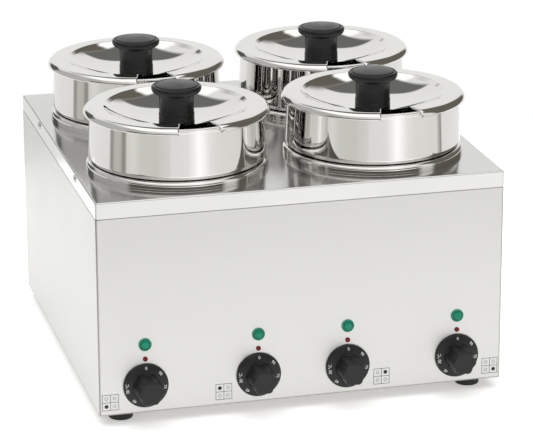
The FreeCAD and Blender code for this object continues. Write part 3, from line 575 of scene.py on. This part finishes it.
def make_lid(station, profile):
    """Pressed lid as one sheet with thickness, its grid drawn in to the edge of the ladle notch."""
    name = "lid_" + station
    x, y = axis_of("lid_knob_" + station)
    edge_r = profile[-1][0]
    angles = lid_angles()
    reaches = [notch_reach(angle, edge_r) for angle in angles]
    points = []
    rows = []

    def add_row(r, offset=0.0, inset=0.0, turned=True):
        row = []
        for angle, reach in zip(angles, reaches):
            share = max(r - LID_HOLD_R, 0) / (edge_r - LID_HOLD_R)
            here = min(r, LID_HOLD_R) + (reach - LID_HOLD_R) * share - inset
            z = height_on(profile, reach if inset else here) - offset
            if turned:
                z -= notch_drop(angle, reach if inset else here, edge_r)
            turn = math.radians(NOTCH_ANGLE) + angle
            row.append(len(points))
            points.append((x + here * math.cos(turn), y + here * math.sin(turn), COVER_TOP + z))
        rows.append(row)

    radii = lid_radii(profile)
    rows.append([0])
    points.append((x, y, COVER_TOP + profile[0][1]))
    for r in radii[1:]:
        add_row(r)
    for degrees in LID_CURL_TURN:
        turn = math.radians(degrees)
        add_row(edge_r, LID_CURL * math.sin(turn), LID_CURL * (1 - math.cos(turn)))
    for r in reversed(radii[1:]):
        if r < LID_ROLL_START + 0.004:
            add_row(r, LID_SHEET, 0.0, False)
    rows.append([len(points)])
    points.append((x, y, COVER_TOP + profile[0][1] - LID_SHEET))
    piece = add_mesh("pot_lid_" + station, points, ring_faces(rows), "lid_body_" + station,
                     materials["polished_steel"], 40.0)
    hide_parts(name)


KNOB_BASE_R = 0.0216
KNOB_DISC_R = 0.0253
KNOB_DISC_RISE = 0.0018
KNOB_HEAD_DROP = 0.0056
KNOB_LIP_UNDER = 0.0064
KNOB_LIP_OVER = 0.0032
KNOB_THROAT = 0.0034
KNOB_RINGS = (0.0036, 0.0080)


def bow(a, b, bulge, steps=10):
    """Points of a shallow curve between two profile points, bulging to one side."""
    points = []
    dx, dz = b[0] - a[0], b[1] - a[1]
    length = math.hypot(dx, dz)
    for k in range(steps + 1):
        t = k / steps
        push = bulge * 4 * t * (1 - t)
        points.append((a[0] + dx * t + dz / length * push, a[1] + dz * t - dx / length * push))
    return points


def make_knob(station):
    """Mushroom knob: ringed foot, waisted neck, rounded lip with a groove and a domed disc on top."""
    name = "lid_knob_" + station
    low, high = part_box(name)
    x, y = axis_of(name)
    head_r = (high.x - low.x) / 2
    base, top = low.z, high.z
    widest = top - KNOB_HEAD_DROP
    disc_z = top - KNOB_DISC_RISE
    foot = [(0, base), (KNOB_BASE_R - 0.0006, base), (KNOB_BASE_R, base + 0.0006)]
    for rise in KNOB_RINGS:
        ring_z = base + rise
        foot += [(KNOB_BASE_R, ring_z - 0.0003), (KNOB_BASE_R - 0.0004, ring_z),
                 (KNOB_BASE_R - 0.0004, ring_z + 0.0005), (KNOB_BASE_R - 0.0001, ring_z + 0.0009)]
    neck_r = KNOB_BASE_R - 0.0003
    throat_z = widest - KNOB_LIP_UNDER - KNOB_THROAT - 0.0006
    neck = bow((neck_r, base + 0.0092), (neck_r, throat_z), -0.0005, 14)
    neck += arc((neck_r + KNOB_THROAT, throat_z), KNOB_THROAT, 180, 120, 8)
    lip = arc((head_r - KNOB_LIP_UNDER, widest), KNOB_LIP_UNDER, -62, 0, 16)
    lip += arc((head_r - KNOB_LIP_OVER, widest), KNOB_LIP_OVER, 0, 80, 12)[1:]
    groove = [(KNOB_DISC_R + 0.0012, disc_z - 0.0004), (KNOB_DISC_R + 0.0008, disc_z - 0.0012),
              (KNOB_DISC_R, disc_z - 0.0012), (KNOB_DISC_R - 0.0002, disc_z - 0.0003)]
    dome = []
    for k in range(15):
        share = 1 - k / 14
        dome.append(((KNOB_DISC_R - 0.0007) * share, top - KNOB_DISC_RISE * share * share))
    points, faces = lathe(foot + neck + lip + groove + dome, KNOB_SEGMENTS, Matrix.Translation((x, y, 0)))
    piece = add_mesh("knob_" + station, points, faces, "lid_body_" + station, materials["knob_plastic"],
                     50.0)
    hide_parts(name)


# ---- wells --------------------------------------------------------------------------------------

WELL_SHEET = 0.001
WELL_R = 0.1032
WELL_CORNER = 0.008
COLLAR_ROUND = 0.0053
COLLAR_LIP_R = 0.002


def make_well(station):
    """Well with its collar turned over on the top cover."""
    name = "well_" + station
    low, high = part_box(name)
    x, y = axis_of(name)
    collar_r = (high.x - low.x) / 2
    t = WELL_SHEET
    lip = (WELL_R + COLLAR_LIP_R, high.z - COLLAR_LIP_R)
    bend = (collar_r - COLLAR_ROUND, high.z - COLLAR_ROUND)
    floor = (WELL_R - WELL_CORNER, low.z + t + WELL_CORNER)
    profile = [(0, low.z)] + arc(floor, WELL_CORNER + t, 270, 360)
    profile += arc(lip, COLLAR_LIP_R - t, 180, 90, 8) + arc(bend, COLLAR_ROUND - t, 90, 0, 16)
    profile += [(collar_r - t, COVER_TOP), (collar_r - 0.0004, COVER_TOP),
                (collar_r - 0.0004, COVER_TOP + 0.0012), (collar_r, COVER_TOP + 0.0016)]
    profile += arc(bend, COLLAR_ROUND, 0, 90, 24) + arc(lip, COLLAR_LIP_R, 90, 180, 12)
    profile += arc(floor, WELL_CORNER, 360, 270) + [(0, low.z + t)]
    points, faces = lathe(with_support(profile), MIRROR_SEGMENTS, Matrix.Translation((x, y, 0)))
    piece = add_mesh("collared_well_" + station, points, faces, HOUSING,
                     materials["polished_steel"])
    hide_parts(name)


# ---- controls -----------------------------------------------------------------------------------

DIAL_LOBES = 6
DIAL_DISC_T = 0.0054
GRIP_BASE_R = 0.0164
GRIP_FRONT_R = 0.0144
GRIP_FLUTE = 0.080
DIAL_FIGURES = ((0, "0"), (-49, "90"), (-96, "75"), (-158, "60"), (140, "45"), (93, "30 °C"))
FIGURE_SIZE = 0.0052
FIGURE_R = 0.0208
FIGURE_DEPTH = 0.00006


def dial_place(name):
    """Frame on the dial's back face: local Z points out of the panel, local Y points up."""
    low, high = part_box(name)
    centre = Vector(((low.x + high.x) / 2, high.y, (low.z + high.z) / 2))
    return Matrix.Translation(centre) @ Matrix.Rotation(math.radians(90), 4, "X")


def grip_shell(depth):
    """Lobed, slightly tapering grip with scooped flanks, a soft front edge and a faintly dished face."""
    levels = [(DIAL_DISC_T - 0.0006, GRIP_BASE_R + 0.0010, 0.4), (DIAL_DISC_T + 0.0004, GRIP_BASE_R, 0.8),
              (DIAL_DISC_T + 0.0016, GRIP_BASE_R - 0.0003, 1.0)]
    straight = 8
    for k in range(1, straight + 1):
        share = k / straight
        z = DIAL_DISC_T + 0.0016 + (depth - 0.0018 - DIAL_DISC_T - 0.0016) * share
        levels.append((z, GRIP_BASE_R - 0.0003 + (GRIP_FRONT_R + 0.0003 - GRIP_BASE_R) * share, 1.0))
    for k in range(1, 7):
        angle = math.pi / 2 * k / 6
        levels.append((depth - 0.0018 + 0.0018 * math.sin(angle),
                       GRIP_FRONT_R - 0.0018 * (1 - math.cos(angle)), 1.0))
    for share in (0.75, 0.5, 0.25):
        levels.append((depth - 0.0005 * (1 - share * share), (GRIP_FRONT_R - 0.0018) * share, share))
    points = []
    segments = DIAL_LOBES * 24
    for z, radius, lobing in levels:
        for k in range(segments):
            angle = 2 * math.pi * k / segments
            wave = math.cos(DIAL_LOBES * angle)
            shape = 0.75 * wave + 0.25 * (2 * abs(math.cos(DIAL_LOBES * angle / 2)) - 1)
            r = radius * (1 + GRIP_FLUTE * lobing * shape)
            points.append(Vector((r * math.cos(angle), r * math.sin(angle), z)))
    points.append(Vector((0, 0, depth - 0.0005)))
    faces = []
    for level in range(len(levels) - 1):
        for k in range(segments):
            n = (k + 1) % segments
            a, b = level * segments, (level + 1) * segments
            faces.append((a + k, a + n, b + n, b + k))
    last = (len(levels) - 1) * segments
    for k in range(segments):
        faces.append((last + k, last + (k + 1) % segments, len(points) - 1))
    return points, faces


def disc_height(r, edge_r):
    """Height of the dial's sloping skirt face at a radius."""
    outer = edge_r - 0.0007
    inner = GRIP_BASE_R + 0.0015
    outer_z = 0.0027
    share = (outer - r) / (outer - inner)
    return outer_z + (DIAL_DISC_T - outer_z) * share


def make_dial(station):
    """Dial: bevelled skirt disc with a hollow back, and the lobed grip standing on it."""
    name = "dial_" + station
    low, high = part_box(name)
    edge_r = (high.x - low.x) / 2
    depth = high.y - low.y
    place = dial_place(name)
    disc = [(0.0065, 0.0024), (edge_r - 0.003, 0.0024), (edge_r - 0.003, 0.0), (edge_r - 0.0003, 0.0),
            (edge_r, 0.0003)]
    disc += arc((edge_r - 0.0012, 0.0016), 0.0012, 0, 62, 8)
    disc += [(GRIP_BASE_R + 0.0015, DIAL_DISC_T), (0, DIAL_DISC_T)]
    points, faces = merged(lathe(disc, DISC_SEGMENTS), grip_shell(depth))
    points = [place @ Vector(p) for p in points]
    piece = add_mesh("control_dial_" + station, points, faces, "dial_body_" + station,
                     materials["dial_plastic"], 40.0)
    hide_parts(name)
    make_figures(station, place, edge_r)


def text_mesh(words, size, depth):
    """Extruded lettering as (points, faces), centred on its origin."""
    curve = bpy.data.curves.new("figure", "FONT")
    curve.body = words
    curve.size = size
    curve.extrude = depth
    curve.offset = size * 0.012
    curve.resolution_u = 3
    curve.align_x = "CENTER"
    curve.align_y = "CENTER"
    holder = bpy.data.objects.new("figure", curve)
    bpy.context.scene.collection.objects.link(holder)
    bpy.context.view_layer.update()
    mesh = bpy.data.meshes.new_from_object(holder.evaluated_get(bpy.context.evaluated_depsgraph_get()))
    points = [v.co.copy() for v in mesh.vertices]
    faces = [tuple(p.vertices) for p in mesh.polygons]
    bpy.data.objects.remove(holder)
    bpy.data.curves.remove(curve)
    bpy.data.meshes.remove(mesh)
    return points, faces


def make_figures(station, place, edge_r):
    """White figures round the skirt, their tops outward, and they turn with the dial."""
    slope = math.atan2(disc_height(FIGURE_R, edge_r) - disc_height(edge_r, edge_r), edge_r - FIGURE_R)
    middle = FIGURE_R + 0.0020
    height = disc_height(middle, edge_r) + FIGURE_DEPTH
    shells = []
    for degrees, words in DIAL_FIGURES:
        points, faces = text_mesh(words, FIGURE_SIZE, FIGURE_DEPTH)
        spot = (Matrix.Rotation(math.radians(degrees), 4, "Z")
                @ Matrix.Translation((0, middle, height))
                @ Matrix.Rotation(-slope, 4, "X"))
        shells.append(([place @ spot @ p for p in points], faces))
    points, faces = merged(*shells)
    add_mesh("dial_figures_" + station, points, faces, "dial_body_" + station, figure_white)


def make_power_lamp(station):
    """Large green lamp: flange ring, a dark grey ring painted in as the shade in the gap round the dome, and
    a faceted dome.
    """
    name = "power_lamp_" + station
    low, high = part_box(name)
    x, z = (low.x + high.x) / 2, (low.z + high.z) / 2
    edge_r = (high.x - low.x) / 2
    place = Matrix.Translation((x, PANEL_Y, z)) @ Matrix.Rotation(math.radians(90), 4, "X")
    ring = [(edge_r - 0.0015, -0.012), (edge_r - 0.0015, 0.0), (edge_r, 0.0)]
    ring += arc((edge_r - 0.0009, 0.0008), 0.0009, 0, 90, 8) + arc((0.0063, 0.0013), 0.0004, 90, 180, 4)
    ring += [(0.0059, 0.0009), (0.0, 0.0009)]
    points, faces = lathe(ring, LAMP_SEGMENTS, place)
    piece = add_mesh("lamp_ring_" + station, points, faces, HOUSING, materials["green_lens"])
    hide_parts(name)
    # A dark grey ring painted in as the shade in the gap between the flange ring and the dome.
    gap_shade_ring = [(0.0058, 0.0009), (0.0058, 0.0013), (0.0050, 0.0013), (0.0050, 0.0009)]
    points, faces = lathe(gap_shade_ring, LAMP_SEGMENTS, place)
    add_mesh("lamp_gap_shade_" + station, points, faces, HOUSING, grey_print_and_gap_shade)
    dome = [(0.0050, 0.0009)] + arc((0.0040, 0.0022), 0.0010, 0, 70, 6)
    for k in range(9):
        share = 1 - k / 8
        dome.append((0.0040 * share, 0.0039 - 0.0007 * share * share))
    points, faces = lathe(dome, LAMP_SEGMENTS, place)
    add_mesh("lamp_lens_" + station, points, faces, HOUSING, materials["green_lens"])


def make_heating_lamp(x, z):
    """Small red lamp bead."""
    place = Matrix.Translation((x, PANEL_Y, z)) @ Matrix.Rotation(math.radians(90), 4, "X")
    bead = [(0.0024, -0.012), (0.0024, 0.0), (0.00305, 0.0)]
    bead += arc((0.00195, 0.0005), 0.0011, 0, 70, 8)
    for k in range(7):
        share = 1 - k / 6
        bead.append((0.0022 * share, 0.0019 - 0.0003 * share * share))
    return lathe(bead, BEAD_SEGMENTS, place)


def make_heating_lamps():
    low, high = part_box("heating_lamps")
    z = (low.z + high.z) / 2
    shells = [make_heating_lamp(axis_of("dial_" + station)[0], z) for station in STATIONS]
    points, faces = merged(*shells)
    piece = add_mesh("heating_lamp_beads", points, faces, HOUSING, materials["red_lens"])
    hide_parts("heating_lamps")


# ---- printed marks ------------------------------------------------------------------------------

MARK_SIZE = 0.0196
MARK_LINE = 0.0006
MARK_DOT_R = 0.0024
MARK_RING_R = 0.0021
MARK_Z = 0.0313
MARK_OFFSETS = {"front_left": -0.0430, "rear_left": -0.0430, "rear_right": 0.0430, "front_right": 0.0430}
PRINT_DEPTH = 0.00008
PRINT_SINK = 0.00005


def flat_bar(x0, z0, x1, z1):
    """A thin printed bar on the front panel."""
    y0, y1 = PANEL_Y - PRINT_DEPTH, PANEL_Y + PRINT_SINK
    points = [(x, y, z) for x in (x0, x1) for y in (y0, y1) for z in (z0, z1)]
    faces = [(0, 1, 3, 2), (4, 6, 7, 5), (0, 4, 5, 1), (2, 3, 7, 6), (0, 2, 6, 4), (1, 5, 7, 3)]
    return points, faces


def flat_ring(x, z, inner, outer):
    """A thin printed ring or dot on the front panel."""
    place = Matrix.Translation((x, PANEL_Y, z)) @ Matrix.Rotation(math.radians(90), 4, "X")
    profile = [(inner, -PRINT_SINK), (outer, -PRINT_SINK), (outer, PRINT_DEPTH), (inner, PRINT_DEPTH)]
    if inner > 0:
        profile.append(profile[0])
    return lathe(profile, PRINT_SEGMENTS, place)


def make_position_mark(station):
    """Plan of the four pots, with this dial's pot filled in."""
    x = axis_of("dial_" + station)[0] + MARK_OFFSETS[station]
    half, w = MARK_SIZE / 2, MARK_LINE / 2
    shells = []
    for step in (-half, 0, half):
        shells.append(flat_bar(x + step - w, MARK_Z - half - w, x + step + w, MARK_Z + half + w))
        shells.append(flat_bar(x - half - w, MARK_Z + step - w, x + half + w, MARK_Z + step + w))
    rings = []
    for place in STATIONS:
        cx = x + (half / 2 if place.endswith("right") else -half / 2)
        cz = MARK_Z + (half / 2 if place.startswith("rear") else -half / 2)
        if place == station:
            dot = flat_ring(cx, cz, 0, MARK_DOT_R)
        else:
            rings.append(flat_ring(cx, cz, MARK_RING_R - MARK_LINE, MARK_RING_R))
    for part, shell, ink in (("frame", merged(*shells), grey_print_and_gap_shade), ("dot", dot, print_black),
                             ("rings", merged(*rings), print_pale)):
        add_mesh("mark_" + part + "_" + station, shell[0], shell[1], HOUSING, ink)


# ---- stage --------------------------------------------------------------------------------------

FLOOR_HALF = 0.85
FLOOR_GLOW = 0.40


def make_floor():
    """White table lit from below as well, so that the shadow under the body stays pale."""
    mesh = bpy.data.meshes.new("floor")
    corners = [(FLOOR_HALF * x, FLOOR_HALF * y, 0) for x, y in ((-1, -1), (1, -1), (1, 1), (-1, 1))]
    mesh.from_pydata(corners, [], [(0, 1, 2, 3)])
    floor = bpy.data.objects.new("floor", mesh)
    bpy.context.scene.collection.objects.link(floor)
    material, tree, shader = new_material("floor")
    tone = noise(tree, object_point(tree), 3.0, 3.0)
    white = two_colours(tree, tone, (0.93, 0.93, 0.93), (0.95, 0.95, 0.95))
    tree.links.new(white, shader.inputs["Base Color"])
    shader.inputs["Roughness"].default_value = 0.7
    shader.inputs["Emission Color"].default_value = (1, 1, 1, 1)
    shader.inputs["Emission Strength"].default_value = FLOOR_GLOW
    mesh.materials.append(material)


CAMERA_SIDE = Vector((CAMERA_PLACE[0], CAMERA_PLACE[1], 0)).normalized()
CAMERA_RIGHT = Vector((-CAMERA_SIDE.y, CAMERA_SIDE.x, 0))

# Tone of the room below the lights, by direction in degrees: 0 is the camera's side, 90 is its right.
WALL_TONES = (
    (-180, (0.90, 0.90, 0.89)), (-104, (0.86, 0.86, 0.85)), (-96, (0.84, 0.84, 0.83)),
    (-93, (0.33, 0.32, 0.30)), (-90, (0.36, 0.35, 0.32)), (-86, (0.56, 0.55, 0.51)),
    (-77, (0.55, 0.54, 0.50)), (-72, (0.30, 0.30, 0.27)), (-69, (0.32, 0.32, 0.29)),
    (-66, (0.74, 0.75, 0.71)), (-56, (0.79, 0.79, 0.75)), (-46, (0.68, 0.69, 0.65)),
    (-24, (0.67, 0.66, 0.62)), (-20, (0.71, 0.70, 0.67)), (-9, (0.76, 0.75, 0.73)),
    (-6, (0.85, 0.84, 0.83)), (15, (0.87, 0.87, 0.85)), (22, (1.02, 1.02, 1.02)),
    (30, (1.24, 1.24, 1.24)), (37, (1.10, 1.10, 1.10)), (44, (0.92, 0.92, 0.91)),
    (54, (0.84, 0.84, 0.81)), (92, (0.80, 0.79, 0.76)), (94, (0.52, 0.50, 0.46)),
    (97, (0.46, 0.44, 0.40)), (99, (0.22, 0.21, 0.19)), (101, (0.84, 0.84, 0.83)),
    (130, (0.88, 0.88, 0.87)), (180, (0.90, 0.90, 0.89)),
)

# Darker and brighter parts of the room: direction, half width, lowest, highest, softness, tone.
ROOM_PARTS = (
    (0, 181, 56, 91, 6, (1.25, 1.25, 1.24)),
    (180, 26, 36, 72, 3, (0.16, 0.16, 0.155)),
    (119, 37, -1, 57, 5, (0.14, 0.13, 0.11)),
    (-90, 48, 2, 50, 10, (0.50, 0.50, 0.49)),
    (-142, 12, 3, 27, 4, (0.10, 0.10, 0.09)),
    (0, 62, 3, 24, 5, (0.10, 0.09, 0.08)),
)


def room_direction(tree):
    """World direction as a level unit vector, the angle round from the camera's side, and elevation."""
    source = tree.nodes.new("ShaderNodeTexCoord")
    split = tree.nodes.new("ShaderNodeSeparateXYZ")
    tree.links.new(source.outputs["Generated"], split.inputs[0])
    level = tree.nodes.new("ShaderNodeCombineXYZ")
    tree.links.new(split.outputs["X"], level.inputs["X"])
    tree.links.new(split.outputs["Y"], level.inputs["Y"])
    unit = tree.nodes.new("ShaderNodeVectorMath")
    unit.operation = "NORMALIZE"
    tree.links.new(level.outputs[0], unit.inputs[0])
    across = along(tree, unit.outputs["Vector"], CAMERA_RIGHT)
    ahead = along(tree, unit.outputs["Vector"], CAMERA_SIDE)
    angle = maths(tree, "ARCTAN2", across, ahead)
    elevation = maths(tree, "ARCSINE", split.outputs["Z"])
    return unit.outputs["Vector"], angle, elevation


def along(tree, vector, direction):
    made = tree.nodes.new("ShaderNodeVectorMath")
    made.operation = "DOT_PRODUCT"
    tree.links.new(vector, made.inputs[0])
    made.inputs[1].default_value = direction
    return made.outputs["Value"]


def step_between(tree, value, start, end):
    """Smooth 0 to 1 step as a value in radians passes from start to end, given in degrees."""
    made = tree.nodes.new("ShaderNodeMapRange")
    made.interpolation_type = "SMOOTHSTEP"
    made.inputs["From Min"].default_value = math.radians(start)
    made.inputs["From Max"].default_value = math.radians(end)
    tree.links.new(value, made.inputs["Value"])
    return made.outputs["Result"]


def wall_colour(tree, angle):
    """Tone of the room's walls round the object."""
    turn = node(tree, "ShaderNodeMapRange", From_Min=-math.pi, From_Max=math.pi)
    tree.links.new(angle, turn.inputs["Value"])
    ramp = tree.nodes.new("ShaderNodeValToRGB")
    stops = ramp.color_ramp.elements
    while len(stops) < len(WALL_TONES):
        stops.new(1.0)
    for stop, (degrees, tone) in zip(stops, WALL_TONES):
        stop.position = (degrees + 180) / 360
        stop.color = (*tone, 1)
    tree.links.new(turn.outputs["Result"], ramp.inputs["Fac"])
    return ramp.outputs["Color"]


def room_part(tree, colour, level, elevation, part):
    """The room's colour with one soft-edged part of it lighter or darker."""
    azimuth, half_width, low, high, soft, tone = part
    turn = math.radians(azimuth)
    centre = CAMERA_SIDE * math.cos(turn) + CAMERA_RIGHT * math.sin(turn)
    mask = step_between(tree, elevation, low - soft / 2, low + soft / 2)
    mask = maths(tree, "MULTIPLY", mask, step_between(tree, elevation, high + soft / 2, high - soft / 2))
    if half_width < 180:
        apart = maths(tree, "ARCCOSINE", along(tree, level, centre))
        side = step_between(tree, apart, half_width + soft, half_width - soft)
        mask = maths(tree, "MULTIPLY", mask, side)
    return tone_where(tree, colour, mask, tone)


def make_world():
    """A white studio with darker parts that the polished steel mirrors; the camera sees plain white."""
    world = bpy.data.worlds.new("studio")
    world.use_nodes = True
    tree = world.node_tree
    background = tree.nodes["Background"]
    level, angle, elevation = room_direction(tree)
    colour = wall_colour(tree, angle)
    for part in ROOM_PARTS:
        colour = room_part(tree, colour, level, elevation, part)
    rays = tree.nodes.new("ShaderNodeLightPath")
    seen = tone_where(tree, colour, rays.outputs["Is Camera Ray"], (1, 1, 1))
    tree.links.new(seen, background.inputs["Color"])
    background.inputs["Strength"].default_value = 1.0
    bpy.context.scene.world = world


def make_lights():
    """One broad soft light high on the left gives the shading a direction."""
    data = bpy.data.lights.new("soft_sun", "SUN")
    data.energy = 1.0
    data.angle = math.radians(70)
    light = bpy.data.objects.new("soft_sun", data)
    light.rotation_euler = (math.radians(10), math.radians(-8), 0)
    light.visible_glossy = False
    bpy.context.scene.collection.objects.link(light)


# ---- build --------------------------------------------------------------------------------------

make_camera()
dress_cad_nodes()
lid_line = lid_profile()
for station in STATIONS:
    make_pot(station)
    make_lid(station, lid_line)
    make_knob(station)
    make_well(station)
    make_dial(station)
    make_power_lamp(station)
    make_position_mark(station)
make_heating_lamps()
make_floor()
make_world()
make_lights()
bpy.context.scene.view_settings.view_transform = "Standard"
